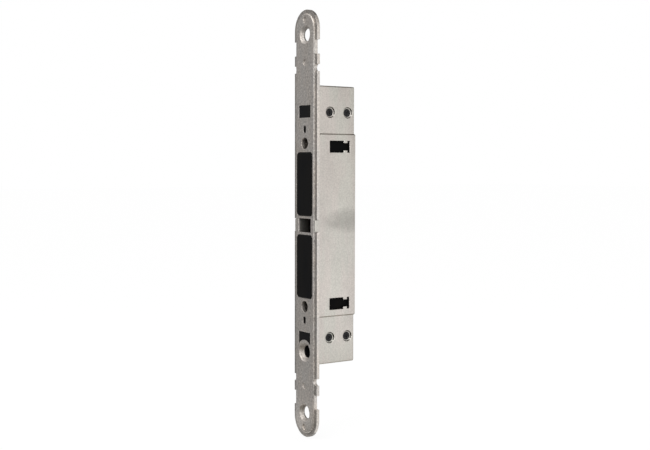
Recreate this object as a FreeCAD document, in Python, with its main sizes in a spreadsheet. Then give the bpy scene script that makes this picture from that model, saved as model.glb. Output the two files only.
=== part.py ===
import FreeCAD, Part

import math
import os
from types import SimpleNamespace

import Sketcher

# Magnetic door latch for a mortise in a door edge or frame.
# A two-layer face plate carries a folded case. Inside it two magnet cartridges slide in and out,
# each set by its own captive screw, which is turned from the front through a hole in the plate.
#
# Frame: X runs across the plate, +Y runs back into the mortise, +Z is up.
# The origin is the centre of the plate's front face. All lengths are in millimetres.

os.makedirs("parts", exist_ok=True)

# Driving sizes: name, value, meaning.
SIZES = (
    ("plate_length", 235.0, "whole face plate, end to end"),
    ("plate_width", 22.0, "back layer of the plate"),
    ("back_thick", 1.7, "back layer of the plate"),
    ("front_thick", 0.8, "front layer of the plate"),
    ("front_edge", 0.4, "chamfer on the front layer's rim"),
    ("ledge_width", 2.2, "back layer showing all round the front layer"),
    ("end_hole_inset", 13.5, "fixing screw hole from the plate's end"),
    ("end_hole_bore", 6.8, "fixing screw hole"),
    ("end_hole_sink", 10.0, "countersink of a fixing screw hole at the face"),
    ("clinch_diameter", 3.4, "pressed spots in the front layer, over the joints of the two layers"),
    ("clinch_depth", 0.45, "depth of a pressed spot"),
    ("clinch_outer_inset", 5.5, "outer pressed spot from the plate's end"),
    ("clinch_inner_inset", 28.5, "inner pressed spot from the plate's end"),
    ("recess_length", 7.7, "straight recesses in the back layer near the ends"),
    ("recess_inset", 20.7, "middle of a straight recess from the plate's end"),
    ("notch_diameter", 4.0, "round notches in both layers"),
    ("notch_inset", 32.0, "round notch from the plate's end"),
    ("notch_setback", 0.7, "notch centre inside the edge of the back layer"),
    ("centre_recess_length", 7.0, "recess in the back layer for the cover's hooks"),
    ("pad_width", 14.5, "black front face of a magnet cartridge"),
    ("pad_height", 34.6, "black front face of a magnet cartridge"),
    ("pad_corner", 2.0, "corner radius of a cartridge face"),
    ("pad_edge", 0.35, "chamfer on the cartridge face's rim"),
    ("pad_proud", 0.5, "cartridge face in front of the plate at rest"),
    ("pad_gap", 10.7, "between the two cartridge faces"),
    ("pad_wall", 1.0, "wall of the cap over the magnets"),
    ("window_gap", 0.2, "gap round a cartridge in its window"),
    ("centre_window_width", 12.0, "open window between the cartridges"),
    ("centre_window_web", 1.35, "metal between that window and a cartridge's window"),
    ("nose_width", 11.2, "window in the front layer that an end block fills"),
    ("nose_height", 6.8, "window in the front layer that an end block fills"),
    ("nose_setback", 0.1, "end block behind the plate's face"),
    ("nose_shoulder", 0.6, "end block wider than its window behind the front layer"),
    ("nose_web", 4.2, "metal between the small slot and the end block's window"),
    ("slot_width", 2.6, "small upright slots in the front layer"),
    ("slot_height", 4.4, "small upright slots in the front layer"),
    ("adjuster_hole", 6.5, "holes over the adjusting screws"),
    ("frame_hole_offset", 7.7, "frame screw hole beyond the middle of the end block's window"),
    ("frame_hole_bore", 6.8, "frame screw hole"),
    ("frame_hole_sink", 11.0, "countersink of the frame screw hole at the face"),
    ("frame_hole_web", 1.2, "metal left round that countersink"),
    ("case_depth", 24.9, "folded case, from the plate to its rear"),
    ("block_end", 13.9, "case beyond the middle of the end block's window"),
    ("case_sheet", 0.8, "sheet of the case"),
    ("case_bend", 1.2, "outside radius of the case's bends"),
    ("case_corner", 0.8, "outside radius at the case's top and bottom"),
    ("cover_sheet", 0.8, "sheet of the cover"),
    ("cover_lap", 5.4, "cover beyond the axis of an adjusting screw"),
    ("cover_edge_flat", 0.15, "flat left on the cover's top and bottom edges beside their chamfer"),
    ("hook_setback", 0.3, "front end of the cover's hooks behind the face"),
    ("hook_gap", 0.2, "gap above and below a hook in its recess"),
    ("port_height", 6.5, "opening in the cover's side"),
    ("port_front", 7.5, "plate to the front of that opening"),
    ("port_rear", 4.0, "rear of that opening to the rear of the case"),
    ("port_offset", 1.7, "opening's middle from the adjusting screw's axis, towards the middle"),
    ("port_neck_height", 4.0, "narrow place in the opening"),
    ("port_neck_length", 2.4, "narrow place, front to back"),
    ("port_tail", 1.6, "opening behind its narrow place"),
    ("port_margin", 0.6, "opening in the case larger all round than in the cover"),
    ("dimple_depth", 1.5, "depth of the pressed seat of a side screw"),
    ("dimple_slope", 0.7, "sloping wall of that seat, seen from the side"),
    ("dimple_floor_gap", 0.25, "seat's flat floor round the screw's head"),
    ("dimple_gap", 0.1, "gap round the backs of those seats in the end block"),
    ("side_screw_front", 8.25, "plate to the front side screw"),
    ("side_screw_rear", 4.9, "rear side screw to the rear of the case"),
    ("side_screw_offset", 0.45, "side screws from the middle of the end block's window, inward"),
    ("side_screw_head", 4.3, "head of a side screw"),
    ("side_screw_head_thick", 0.7, "head of a side screw"),
    ("side_screw_shank", 2.4, "shank of a side screw"),
    ("side_screw_reach", 5.0, "shank of a side screw under its head"),
    ("side_screw_gap", 0.1, "gap round a side screw in the case"),
    ("block_core_height", 5.0, "hollow cored into an end block from the rear"),
    ("block_core_floor", 7.45, "plastic between that hollow and the plate"),
    ("block_core_wall", 2.0, "plastic left beside that hollow"),
    ("bearing_wall", 2.2, "arm of an end block that carries the adjusting screw"),
    ("adjuster_setback", 2.1, "screw head behind the plate's face"),
    ("head_gap", 0.25, "gap round the screw's head in the plate's hole"),
    ("collar_lap", 0.55, "collar behind the plate, wider than the hole all round"),
    ("collar_gap", 0.1, "gap between the plate and the collar"),
    ("collar_side_gap", 0.25, "gap between the collar and the carrier beside it"),
    ("collar_thick", 0.9, "collar of the adjusting screw"),
    ("adjuster_shank", 5.0, "thread of the adjusting screw, outside"),
    ("adjuster_reach", 18.0, "adjusting screw behind its collar"),
    ("recess_arm", 3.6, "cross recess, tip to tip"),
    ("recess_blade", 0.8, "cross recess, width of an arm"),
    ("recess_depth", 1.3, "cross recess"),
    ("nut_wall", 0.95, "wall of the threaded insert"),
    ("nut_length", 9.0, "threaded insert"),
    ("ear_wall", 0.95, "carrier's ear round the threaded insert"),
    ("carrier_wall", 0.75, "carrier beyond the cartridge face at each side"),
    ("carrier_shoulder", 0.9, "carrier beyond the cartridge face, top and bottom"),
    ("carrier_floor", 3.2, "plastic between the back iron and the hollows cored from the rear"),
    ("carrier_rib", 1.6, "ribs between those hollows"),
    ("magnet_thick", 6.0, "magnet block, front to back"),
    ("magnet_split", 0.4, "gap between the two magnet blocks"),
    ("iron_thick", 2.0, "back iron behind the magnets"),
    ("guide_setback", 9.0, "centre guide behind the plate's face"),
    ("guide_peg", 3.0, "pegs of the centre guide in the case"),
    ("slide_gap", 0.2, "gap between a carrier and the case's side walls"),
    ("end_gap", 0.35, "gap between a carrier and its neighbours above and below"),
    ("stop_gap", 0.25, "gap left at the ends of the travel"),
    ("seat_gap", 0.05, "gap between fixed pieces that fit into each other"),
    ("running_gap", 0.05, "gap round a turning piece"),
    ("tunnel_gap", 0.2, "gap round the adjusting screw behind the insert"),
    ("travel_out", 2.0, "cartridge travel towards the front"),
    ("travel_in", 1.0, "cartridge travel towards the rear"),
)

doc = FreeCAD.newDocument("MagneticLatch")
sheet = doc.addObject("Spreadsheet::Sheet", "Sizes")
for row, (name, value, meaning) in enumerate(SIZES, start=1):
    sheet.set(f"A{row}", meaning)
    sheet.set(f"B{row}", f"{value:g}")
    sheet.setAlias(f"B{row}", name)
doc.recompute()


class Size:
    """A length: the sheet expression that gives it, and its present value."""

    def __init__(self, text, value):
        self.text = text
        self.value = value

    def __add__(self, other):
        other = as_size(other)
        return Size(f"({self.text} + {other.text})", self.value + other.value)

    def __sub__(self, other):
        other = as_size(other)
        return Size(f"({self.text} - {other.text})", self.value - other.value)

    def __mul__(self, other):
        other = as_size(other)
        return Size(f"({self.text} * {other.text})", self.value * other.value)

    def __truediv__(self, other):
        other = as_size(other)
        return Size(f"({self.text} / {other.text})", self.value / other.value)

    def __neg__(self):
        return self * -1


def as_size(item):
    """A plain number becomes a size too."""
    if isinstance(item, Size):
        return item
    return Size(f"({item:g})", float(item))


size = SimpleNamespace(**{name: Size(f"Sizes.{name}", value) for name, value, meaning in SIZES})
ZERO = as_size(0)

# Places worked out from the driving sizes.
plate_end = size.plate_length / 2
plate_half = size.plate_width / 2
front_half = plate_half - size.ledge_width
plate_rear = size.front_thick + size.back_thick

pad_half = size.pad_width / 2
pad_inner = size.pad_gap / 2
pad_outer = pad_inner + size.pad_height
pad_centre = (pad_inner + pad_outer) / 2
centre_window_half = pad_inner - size.window_gap - size.centre_window_web

# Above the upper cartridge, and below the lower one: adjusting screw, slot, end block.
carrier_low = pad_inner - size.carrier_shoulder
carrier_high = pad_outer + size.carrier_shoulder
adjuster_head = size.adjuster_hole - size.head_gap * 2
adjuster_collar = size.adjuster_hole + size.collar_lap * 2
adjuster_height = carrier_high + size.collar_side_gap + adjuster_collar / 2
adjuster_bore = size.adjuster_shank + size.running_gap * 2
nut_diameter = adjuster_bore + size.nut_wall * 2
nut_seat = nut_diameter + size.seat_gap * 2
ear_high = adjuster_height + nut_seat / 2 + size.ear_wall
block_low = ear_high + size.end_gap
block_window_low = block_low - size.seat_gap
slot_centre = block_window_low + size.nose_shoulder + size.slot_height / 2
block_height = slot_centre + (size.slot_height + size.nose_height) / 2 + size.nose_web
block_window_half = size.nose_width / 2 + size.nose_shoulder
block_window_high = block_height + size.nose_height / 2 + size.nose_shoulder
frame_hole_height = -(block_height + size.frame_hole_offset)
bearing_low = carrier_high + size.end_gap

case_half = pad_half + size.carrier_wall + size.slide_gap + size.case_sheet
case_inner = case_half - size.case_sheet
case_rear = plate_rear + size.case_depth
case_rear_inner = case_rear - size.case_sheet
case_top = block_height + size.block_end
case_top_inner = case_top - size.case_sheet
cover_half = case_half + size.cover_sheet
cover_rear = case_rear + size.cover_sheet
cover_top = adjuster_height + size.cover_lap
inner_bend = size.case_bend - size.case_sheet
port_height = adjuster_height - size.port_offset
port_front = plate_rear + size.port_front
port_rear = case_rear - size.port_rear

dimple_floor = size.side_screw_head + size.dimple_floor_gap * 2
dimple_diameter = dimple_floor + size.dimple_slope * 2
dimple_back = dimple_diameter + size.case_sheet
side_screw_setbacks = (plate_rear + size.side_screw_front, case_rear - size.side_screw_rear)
side_screw_height = block_height - size.side_screw_offset

# Front to back along an adjusting screw: head, collar, bearing arm.
collar_front = plate_rear + size.collar_gap
collar_rear = collar_front + size.collar_thick
bearing_front = collar_rear + size.running_gap
bearing_rear = bearing_front + size.bearing_wall

# A cartridge's pieces from front to back.
magnet_front = size.pad_wall - size.pad_proud + size.seat_gap
magnet_rear = magnet_front + size.magnet_thick
iron_rear = magnet_rear + size.iron_thick
carrier_front = plate_rear + size.travel_out + size.stop_gap
carrier_rear = case_rear_inner - size.travel_in - size.stop_gap
carrier_half = case_inner - size.slide_gap
ear_front = bearing_rear + size.travel_out + size.stop_gap


def bind(thing, name, item):
    """Ties a property to the sheet."""
    thing.setExpression(name, as_size(item).text)


# Sketch planes. The sketch axes are X and Z, X and Y, or Y and Z.
# A level is a place along the third axis. Only the front plane looks back along its axis.
FRONT = "XZ_Plane"
TOP = "XY_Plane"
SIDE = "YZ_Plane"
X_AXIS = -1
Y_AXIS = -2


def origin_plane(body, role):
    for feature in body.Origin.OriginFeatures:
        if feature.Role == role:
            return feature
    raise ValueError(role)


def attach(thing, body, plane, level):
    thing.AttachmentSupport = [(origin_plane(body, plane), "")]
    thing.MapMode = "FlatFace"
    bind(thing, "AttachmentOffset.Base.z", -as_size(level) if plane == FRONT else level)


def new_body(label):
    body = doc.addObject("PartDesign::Body", label)
    body.Label = label
    return body


def new_sketch(body, plane, level=ZERO):
    sketch = body.newObject("Sketcher::SketchObject", "Sketch")
    attach(sketch, body, plane, level)
    return sketch


def constrain(sketch, kind, *where):
    """Adds a constraint. A size at the end ties it to the sheet."""
    if isinstance(where[-1], Size):
        index = sketch.addConstraint(Sketcher.Constraint(kind, *where[:-1], where[-1].value))
        bind(sketch, f"Constraints[{index}]", where[-1])
    else:
        sketch.addConstraint(Sketcher.Constraint(kind, *where))


def place_point(sketch, geometry, point, across, along):
    """Puts a point at a distance from the sketch's origin. None leaves that direction free."""
    if across is not None and abs(across.value) < 1e-9:
        constrain(sketch, "PointOnObject", geometry, point, Y_AXIS)
    elif across is not None:
        constrain(sketch, "DistanceX", -1, 1, geometry, point, across)
    if along is not None and abs(along.value) < 1e-9:
        constrain(sketch, "PointOnObject", geometry, point, X_AXIS)
    elif along is not None:
        constrain(sketch, "DistanceY", -1, 1, geometry, point, along)


def outline(sketch, corners, radii=None):
    """A closed outline of upright and level lines. radii gives the corners that are rounded."""
    radii = radii or {}
    count = len(corners)
    points = [FreeCAD.Vector(across.value, along.value, 0) for across, along in corners]
    ways = [(points[(i + 1) % count] - points[i]).normalize() for i in range(count)]
    trims = [radii[i].value if i in radii else 0.0 for i in range(count)]
    lines = []
    for i in range(count):
        start = points[i] + ways[i] * trims[i]
        end = points[(i + 1) % count] - ways[i] * trims[(i + 1) % count]
        line = sketch.addGeometry(Part.LineSegment(start, end))
        upright = abs(ways[i].x) < 0.5
        constrain(sketch, "Vertical" if upright else "Horizontal", line)
        across, along = corners[i]
        place_point(sketch, line, 1, across if upright else None, None if upright else along)
        lines.append(line)
    for i in range(count):
        if i not in radii:
            constrain(sketch, "Coincident", lines[i - 1], 2, lines[i], 1)
            continue
        centre = points[i] + (ways[i] - ways[i - 1]) * trims[i]
        first = points[i] - ways[i - 1] * trims[i] - centre
        last = points[i] + ways[i] * trims[i] - centre
        left_turn = ways[i - 1].cross(ways[i]).z > 0
        if not left_turn:
            first, last = last, first
        circle = Part.Circle(centre, FreeCAD.Vector(0, 0, 1), trims[i])
        angles = math.atan2(first.y, first.x), math.atan2(last.y, last.x)
        arc = sketch.addGeometry(Part.ArcOfCircle(circle, *angles))
        enter, leave = (1, 2) if left_turn else (2, 1)
        constrain(sketch, "Tangent", lines[i - 1], 2, arc, enter)
        constrain(sketch, "Tangent", arc, leave, lines[i], 1)
        constrain(sketch, "Radius", arc, radii[i])


def box_outline(sketch, left, low, right, high, radius=None):
    corners = [(left, low), (right, low), (right, high), (left, high)]
    outline(sketch, corners, {i: radius for i in range(4)} if radius else None)


def long_round(sketch, centre, width, length):
    """An upright outline with two half-round ends, on the sketch's upright axis."""
    half = width / 2
    reach = (length - width) / 2
    low = centre - reach
    high = centre + reach
    up = FreeCAD.Vector(0, 0, 1)
    right_line = Part.LineSegment(
        FreeCAD.Vector(half.value, low.value, 0), FreeCAD.Vector(half.value, high.value, 0)
    )
    left_line = Part.LineSegment(
        FreeCAD.Vector(-half.value, high.value, 0), FreeCAD.Vector(-half.value, low.value, 0)
    )
    top = Part.Circle(FreeCAD.Vector(0, high.value, 0), up, half.value)
    bottom = Part.Circle(FreeCAD.Vector(0, low.value, 0), up, half.value)
    right = sketch.addGeometry(right_line)
    top_arc = sketch.addGeometry(Part.ArcOfCircle(top, 0, math.pi))
    left = sketch.addGeometry(left_line)
    bottom_arc = sketch.addGeometry(Part.ArcOfCircle(bottom, math.pi, 2 * math.pi))
    ring = [right, top_arc, left, bottom_arc]
    for before, after in zip(ring, ring[1:] + ring[:1]):
        constrain(sketch, "Tangent", before, 2, after, 1)
    constrain(sketch, "Vertical", right)
    place_point(sketch, right, 1, half, None)
    place_point(sketch, left, 1, -half, None)
    place_point(sketch, top_arc, 3, None, high)
    place_point(sketch, bottom_arc, 3, None, low)


def round_hole(sketch, across, along, diameter):
    centre = FreeCAD.Vector(across.value, along.value, 0)
    circle = sketch.addGeometry(
        Part.Circle(centre, FreeCAD.Vector(0, 0, 1), diameter.value / 2)
    )
    place_point(sketch, circle, 3, across, along)
    constrain(sketch, "Radius", circle, diameter / 2)


def pad(body, sketch, length):
    """Fills a sketch towards +Y, +Z or +X."""
    feature = body.newObject("PartDesign::Pad", "Pad")
    feature.Profile = sketch
    bind(feature, "Length", length)
    feature.Reversed = sketch.AttachmentSupport[0][0].Role == FRONT
    return feature


def cut_through(body, sketch):
    """Cuts a sketch through the whole body, both ways."""
    feature = body.newObject("PartDesign::Pocket", "Pocket")
    feature.Profile = sketch
    feature.Type = "ThroughAll"
    feature.SideType = "Symmetric"
    return feature


def cut_back(body, sketch, length):
    """Cuts a front sketch back towards +Y, or a side sketch towards -X."""
    feature = body.newObject("PartDesign::Pocket", "Pocket")
    feature.Profile = sketch
    bind(feature, "Length", length)
    return feature


def turned(body, kind, plane, place, low, high, low_diameter, high_diameter=None):
    """Adds or cuts a cylinder or cone along X or Y. place is the axis in the sketch plane."""
    tapered = high_diameter is not None
    feature = body.newObject(f"PartDesign::{kind}{'Cone' if tapered else 'Cylinder'}", "Turned")
    across, along = place
    if plane == FRONT:
        attach(feature, body, plane, high)
        first, last = high_diameter, low_diameter
    else:
        attach(feature, body, plane, low)
        first, last = low_diameter, high_diameter
    bind(feature, "AttachmentOffset.Base.x", across)
    bind(feature, "AttachmentOffset.Base.y", along)
    bind(feature, "Height", high - low)
    if tapered:
        bind(feature, "Radius1", first / 2)
        bind(feature, "Radius2", last / 2)
    else:
        bind(feature, "Radius", low_diameter / 2)
    return feature


def ring_profile(body, corners):
    """Turns a profile in X and Y about the Y axis."""
    sketch = new_sketch(body, TOP)
    outline(sketch, corners)
    feature = body.newObject("PartDesign::Revolution", "Revolution")
    feature.Profile = sketch
    feature.ReferenceAxis = (sketch, ["V_Axis"])
    feature.Angle = 360
    return feature


def dress(body, kind, wanted, amount):
    """Rounds or chamfers the edges of the body that the test picks."""
    doc.recompute()
    base = body.Tip
    edges = [f"Edge{n}" for n, edge in enumerate(base.Shape.Edges, start=1) if wanted(edge)]
    if not edges:
        raise ValueError(f"{body.Label}: no edge to dress")
    feature = body.newObject(f"PartDesign::{kind}", kind)
    feature.Base = (base, edges)
    bind(feature, "Radius" if kind == "Fillet" else "Size", amount)
    return feature


def lies_at(edge, axis, place):
    """True where the whole edge lies at one place along an axis."""
    box = edge.BoundBox
    low, high = getattr(box, f"{axis}Min"), getattr(box, f"{axis}Max")
    return abs(low - place.value) < 1e-4 and abs(high - place.value) < 1e-4


def runs_along(edge, axis):
    box = edge.BoundBox
    return getattr(box, f"{axis}Length") > box.DiagonalLength * 0.999


def screw_hole(body, height, sink, bore):
    """A countersunk hole from the face through the plate."""
    sink_depth = (sink - bore) / 2
    turned(body, "Subtractive", FRONT, (ZERO, height), ZERO, sink_depth, sink, bore)
    turned(body, "Subtractive", FRONT, (ZERO, height), ZERO, plate_rear, bore)


def plate_screw_holes(body):
    for side in (1, -1):
        height = (plate_end - size.end_hole_inset) * side
        screw_hole(body, height, size.end_hole_sink, size.end_hole_bore)
    screw_hole(body, frame_hole_height, size.frame_hole_sink, size.frame_hole_bore)


def notches(sketch):
    """The four round notches near the plate's ends."""
    for side in (1, -1):
        for hand in (1, -1):
            across = (plate_half - size.notch_setback) * hand
            height = (plate_end - size.notch_inset) * side
            round_hole(sketch, across, height, size.notch_diameter)


frame_web = size.frame_hole_sink + size.frame_hole_web * 2


def make_front_plate():
    body = new_body("front_plate")
    sketch = new_sketch(body, FRONT)
    long_round(sketch, ZERO, front_half * 2, size.plate_length - size.ledge_width * 2)
    pad(body, sketch, size.front_thick)
    dress(body, "Chamfer", lambda edge: lies_at(edge, "Y", ZERO), size.front_edge)

    windows = new_sketch(body, FRONT)
    wide = pad_half + size.window_gap
    for side in (1, -1):
        low = (pad_inner - size.window_gap) * side
        high = (pad_outer + size.window_gap) * side
        box_outline(windows, -wide, low, wide, high, size.pad_corner)
        nose = size.nose_height / 2
        nose_half = size.nose_width / 2
        centre = block_height * side
        box_outline(windows, -nose_half, centre - nose, nose_half, centre + nose)
        long_round(windows, slot_centre * side, size.slot_width, size.slot_height)
        round_hole(windows, ZERO, adjuster_height * side, size.adjuster_hole)
    half = size.centre_window_width / 2
    box_outline(windows, -half, -centre_window_half, half, centre_window_half)
    cut_through(body, windows)

    edge_cuts = new_sketch(body, FRONT)
    notches(edge_cuts)
    cut_through(body, edge_cuts)

    # The metal round the frame screw's countersink covers a part of the window above it.
    place = (ZERO, frame_hole_height)
    turned(body, "Additive", FRONT, place, ZERO, size.front_thick, frame_web)
    plate_screw_holes(body)
    for inset in (size.clinch_outer_inset, size.clinch_inner_inset):
        for side in (1, -1):
            place = (ZERO, (plate_end - inset) * side)
            turned(body, "Subtractive", FRONT, place, ZERO, size.clinch_depth, size.clinch_diameter)
    return body


def make_back_plate():
    body = new_body("back_plate")
    sketch = new_sketch(body, FRONT, size.front_thick)
    long_round(sketch, ZERO, size.plate_width, size.plate_length)
    pad(body, sketch, size.back_thick)

    windows = new_sketch(body, FRONT)
    wide = pad_half + size.window_gap
    high = pad_outer + size.window_gap
    box_outline(windows, -wide, -high, wide, high, size.pad_corner)
    for side in (1, -1):
        low = block_window_low * side
        high = block_window_high * side
        box_outline(windows, -block_window_half, low, block_window_half, high)
        round_hole(windows, ZERO, adjuster_height * side, size.adjuster_hole)
    cut_through(body, windows)

    edge_cuts = new_sketch(body, FRONT)
    notches(edge_cuts)
    outside = size.plate_width
    recess_height = plate_end - size.recess_inset
    for hand in (1, -1):
        for centre, length in (
            (recess_height, size.recess_length),
            (-recess_height, size.recess_length),
            (ZERO, size.centre_recess_length),
        ):
            low = centre - length / 2
            high = centre + length / 2
            box_outline(edge_cuts, front_half * hand, low, outside * hand, high)
    cut_through(body, edge_cuts)

    place = (ZERO, frame_hole_height)
    turned(body, "Additive", FRONT, place, size.front_thick, plate_rear, frame_web)
    plate_screw_holes(body)
    return body


def u_outline(sketch, half, front, rear, sheet_thick, bend):
    """A sheet folded to a U, open to the front, in X and Y."""
    inner = half - sheet_thick
    inner_rear = rear - sheet_thick
    bend_inside = bend - sheet_thick
    corners = [
        (-half, front),
        (-half, rear),
        (half, rear),
        (half, front),
        (inner, front),
        (inner, inner_rear),
        (-inner, inner_rear),
        (-inner, front),
    ]
    outline(sketch, corners, {1: bend, 2: bend, 5: bend_inside, 6: bend_inside})


def make_case():
    body = new_body("case")
    sketch = new_sketch(body, TOP, -case_top)
    u_outline(sketch, case_half, plate_rear, case_rear, size.case_sheet, size.case_bend)
    pad(body, sketch, case_top * 2)
    for side in (1, -1):
        flap = new_sketch(body, TOP, case_top_inner if side > 0 else -case_top)
        box_outline(flap, -case_inner, plate_rear, case_inner, case_rear_inner)
        pad(body, flap, size.case_sheet)
    dress(
        body,
        "Fillet",
        lambda edge: (
            lies_at(edge, "Z", case_top) or lies_at(edge, "Z", -case_top)
        ) and not lies_at(edge, "Y", plate_rear),
        size.case_corner,
    )

    ports = new_sketch(body, SIDE)
    front = port_front - size.port_margin
    rear = port_rear + size.port_margin
    rise = size.port_height / 2 + size.port_margin
    for side in (1, -1):
        centre = port_height * side
        box_outline(ports, front, centre - rise, rear, centre + rise)
    peg_centre = (size.guide_setback + case_rear_inner) / 2
    round_hole(ports, peg_centre, ZERO, size.guide_peg + size.seat_gap * 2)
    cut_through(body, ports)

    for side in (1, -1):
        for setback in side_screw_setbacks:
            add_dimple(body, (setback, side_screw_height * side))
    exit_front = case_rear_inner - size.case_sheet
    place = (ZERO, frame_hole_height)
    turned(body, "Subtractive", FRONT, place, exit_front, cover_rear, size.frame_hole_bore)
    return body


def add_dimple(body, place):
    """A pressed seat for a side screw: the sheet runs inward round it, with a hole in its floor."""
    floor = case_half - size.dimple_depth
    back = floor - size.case_sheet
    mid_sheet = case_half - size.case_sheet / 2
    turned(body, "Additive", SIDE, place, back, mid_sheet, dimple_back)
    turned(body, "Subtractive", SIDE, place, floor, case_half, dimple_floor, dimple_diameter)
    hole = size.side_screw_shank + size.side_screw_gap * 2
    turned(body, "Subtractive", SIDE, place, back, case_half, hole)


def make_cover():
    body = new_body("cover")
    sketch = new_sketch(body, TOP, -cover_top)
    bend = size.case_bend + size.cover_sheet
    u_outline(sketch, cover_half, plate_rear, cover_rear, size.cover_sheet, bend)
    pad(body, sketch, cover_top * 2)
    chamfer_cover_edges(body)

    # Two hooks run forward into the recesses at the middle of the plate.
    hook_half = size.centre_recess_length / 2 - size.hook_gap
    for hand in (1, -1):
        hook = new_sketch(body, FRONT, size.hook_setback)
        near, far = case_half * hand, cover_half * hand
        box_outline(hook, near, -hook_half, far, hook_half)
        pad(body, hook, plate_rear - size.hook_setback + size.cover_sheet)

    ports = new_sketch(body, SIDE)
    for side in (1, -1):
        port_outline(ports, port_height * side)
    cut_through(body, ports)
    return body


def chamfer_cover_edges(body):
    """Chamfers the outer side of the sheet along the cover's top and bottom."""
    def outside(edge):
        box = edge.BoundBox
        reach = max(abs(box.XMin), abs(box.XMax))
        rim = lies_at(edge, "Z", cover_top) or lies_at(edge, "Z", -cover_top)
        return rim and (box.YMax > cover_rear.value - 1e-4 or reach > cover_half.value - 1e-4) and (
            box.DiagonalLength > size.cover_sheet.value * 1.5
        )

    dress(body, "Chamfer", outside, size.cover_sheet - size.cover_edge_flat)


def port_outline(sketch, centre):
    """An opening with two tabs that leave a neck near its rear."""
    rise = size.port_height / 2
    neck = size.port_neck_height / 2
    neck_rear = port_rear - size.port_tail
    neck_front = neck_rear - size.port_neck_length
    corners = [
        (port_front, centre - rise),
        (neck_front, centre - rise),
        (neck_front, centre - neck),
        (neck_rear, centre - neck),
        (neck_rear, centre - rise),
        (port_rear, centre - rise),
        (port_rear, centre + rise),
        (neck_rear, centre + rise),
        (neck_rear, centre + neck),
        (neck_front, centre + neck),
        (neck_front, centre + rise),
        (port_front, centre + rise),
    ]
    outline(sketch, corners)


def make_end_block(label, side):
    """Moulded block at one end of the case, with the arm that carries the adjusting screw."""
    body = new_body(label)
    half = case_inner - size.seat_gap
    rear = case_rear_inner - size.seat_gap
    top = case_top_inner - size.seat_gap
    main = new_sketch(body, FRONT, plate_rear)
    box_outline(main, -half, block_low * side, half, top * side)
    pad(body, main, rear - plate_rear)

    boss = new_sketch(body, FRONT, size.front_thick)
    boss_half = block_window_half - size.seat_gap
    boss_high = (block_window_high - size.seat_gap) * side
    box_outline(boss, -boss_half, block_low * side, boss_half, boss_high)
    pad(body, boss, plate_rear - size.front_thick + size.case_sheet)

    nose = new_sketch(body, FRONT, size.nose_setback)
    nose_half = size.nose_width / 2 - size.seat_gap
    nose_rise = size.nose_height / 2 - size.seat_gap
    centre = block_height * side
    box_outline(nose, -nose_half, centre - nose_rise, nose_half, centre + nose_rise)
    pad(body, nose, plate_rear - size.nose_setback)

    arm = new_sketch(body, FRONT, bearing_front)
    arm_high = (block_low + size.bearing_wall) * side
    box_outline(arm, -half, bearing_low * side, half, arm_high)
    pad(body, arm, size.bearing_wall)
    place = (ZERO, adjuster_height * side)
    arm_rear = bearing_rear + size.seat_gap
    turned(body, "Subtractive", FRONT, place, collar_rear, arm_rear, adjuster_bore)

    core_front = plate_rear + size.block_core_floor
    core = new_sketch(body, FRONT, core_front)
    core_half = half - size.block_core_wall
    core_low = block_low + size.block_core_wall
    core_high = (core_low + size.block_core_height) * side
    box_outline(core, -core_half, core_low * side, core_half, core_high)
    cut_back(body, core, rear - core_front)

    ease_rear_edges(body, rear)

    if side < 0:
        place = (ZERO, frame_hole_height)
        clear = frame_web + size.seat_gap * 2
        turned(body, "Subtractive", FRONT, place, ZERO, plate_rear, clear)
        turned(body, "Subtractive", FRONT, place, plate_rear, case_rear, size.frame_hole_bore)
    cut_seat_relief(body, half, side)
    for setback in side_screw_setbacks:
        cut_tapped_hole(body, half, (setback, side_screw_height * side))
    return body


def ease_rear_edges(body, rear):
    """Rounds the upright rear edges, which lie in the case's inner bends."""
    half = case_inner - size.seat_gap
    dress(
        body,
        "Fillet",
        lambda edge: runs_along(edge, "Z") and lies_at(edge, "Y", rear) and (
            lies_at(edge, "X", half) or lies_at(edge, "X", -half)
        ),
        inner_bend,
    )


def cut_seat_relief(body, half, side):
    """A shallow channel in an end block's side, open to the rear, for the backs of two pressed seats."""
    relief = new_sketch(body, SIDE, half)
    reach = dimple_back / 2 + size.dimple_gap
    front = side_screw_setbacks[0] - reach
    bottom = (side_screw_height - reach) * side
    top = (side_screw_height + reach) * side
    box_outline(relief, front, bottom, case_rear, top)
    seat_back = case_half - size.dimple_depth - size.case_sheet
    cut_back(body, relief, half - seat_back + size.seat_gap)


def cut_tapped_hole(body, half, place):
    """The hole in an end block that a side screw bites into."""
    tip = case_half - size.dimple_depth - size.side_screw_reach - size.dimple_gap
    hole = size.side_screw_shank + size.seat_gap * 2
    turned(body, "Subtractive", SIDE, place, tip, half, hole)


def make_side_screws(label, side):
    """The two screws at one end of the case, as one group."""
    screws = []
    floor = case_half - size.dimple_depth
    head_span = (floor, floor + size.side_screw_head_thick)
    shank_span = (floor - size.side_screw_reach, floor)
    for setback in side_screw_setbacks:
        parts = []
        for (low, high), diameter in (
            (head_span, size.side_screw_head),
            (shank_span, size.side_screw_shank),
        ):
            rod = doc.addObject("Part::Cylinder", "Rod")
            bind(rod, "Radius", diameter / 2)
            bind(rod, "Height", high - low)
            rod.Placement.Rotation = FreeCAD.Rotation(FreeCAD.Vector(0, 1, 0), 90)
            bind(rod, "Placement.Base.x", low)
            bind(rod, "Placement.Base.y", setback)
            bind(rod, "Placement.Base.z", side_screw_height * side)
            parts.append(rod)
        screw = doc.addObject("Part::Fuse", "SideScrew")
        screw.Base, screw.Tool = parts
        screws.append(screw)
    group = doc.addObject("Part::Compound", label)
    group.Label = label
    group.Links = screws
    return group


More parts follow.
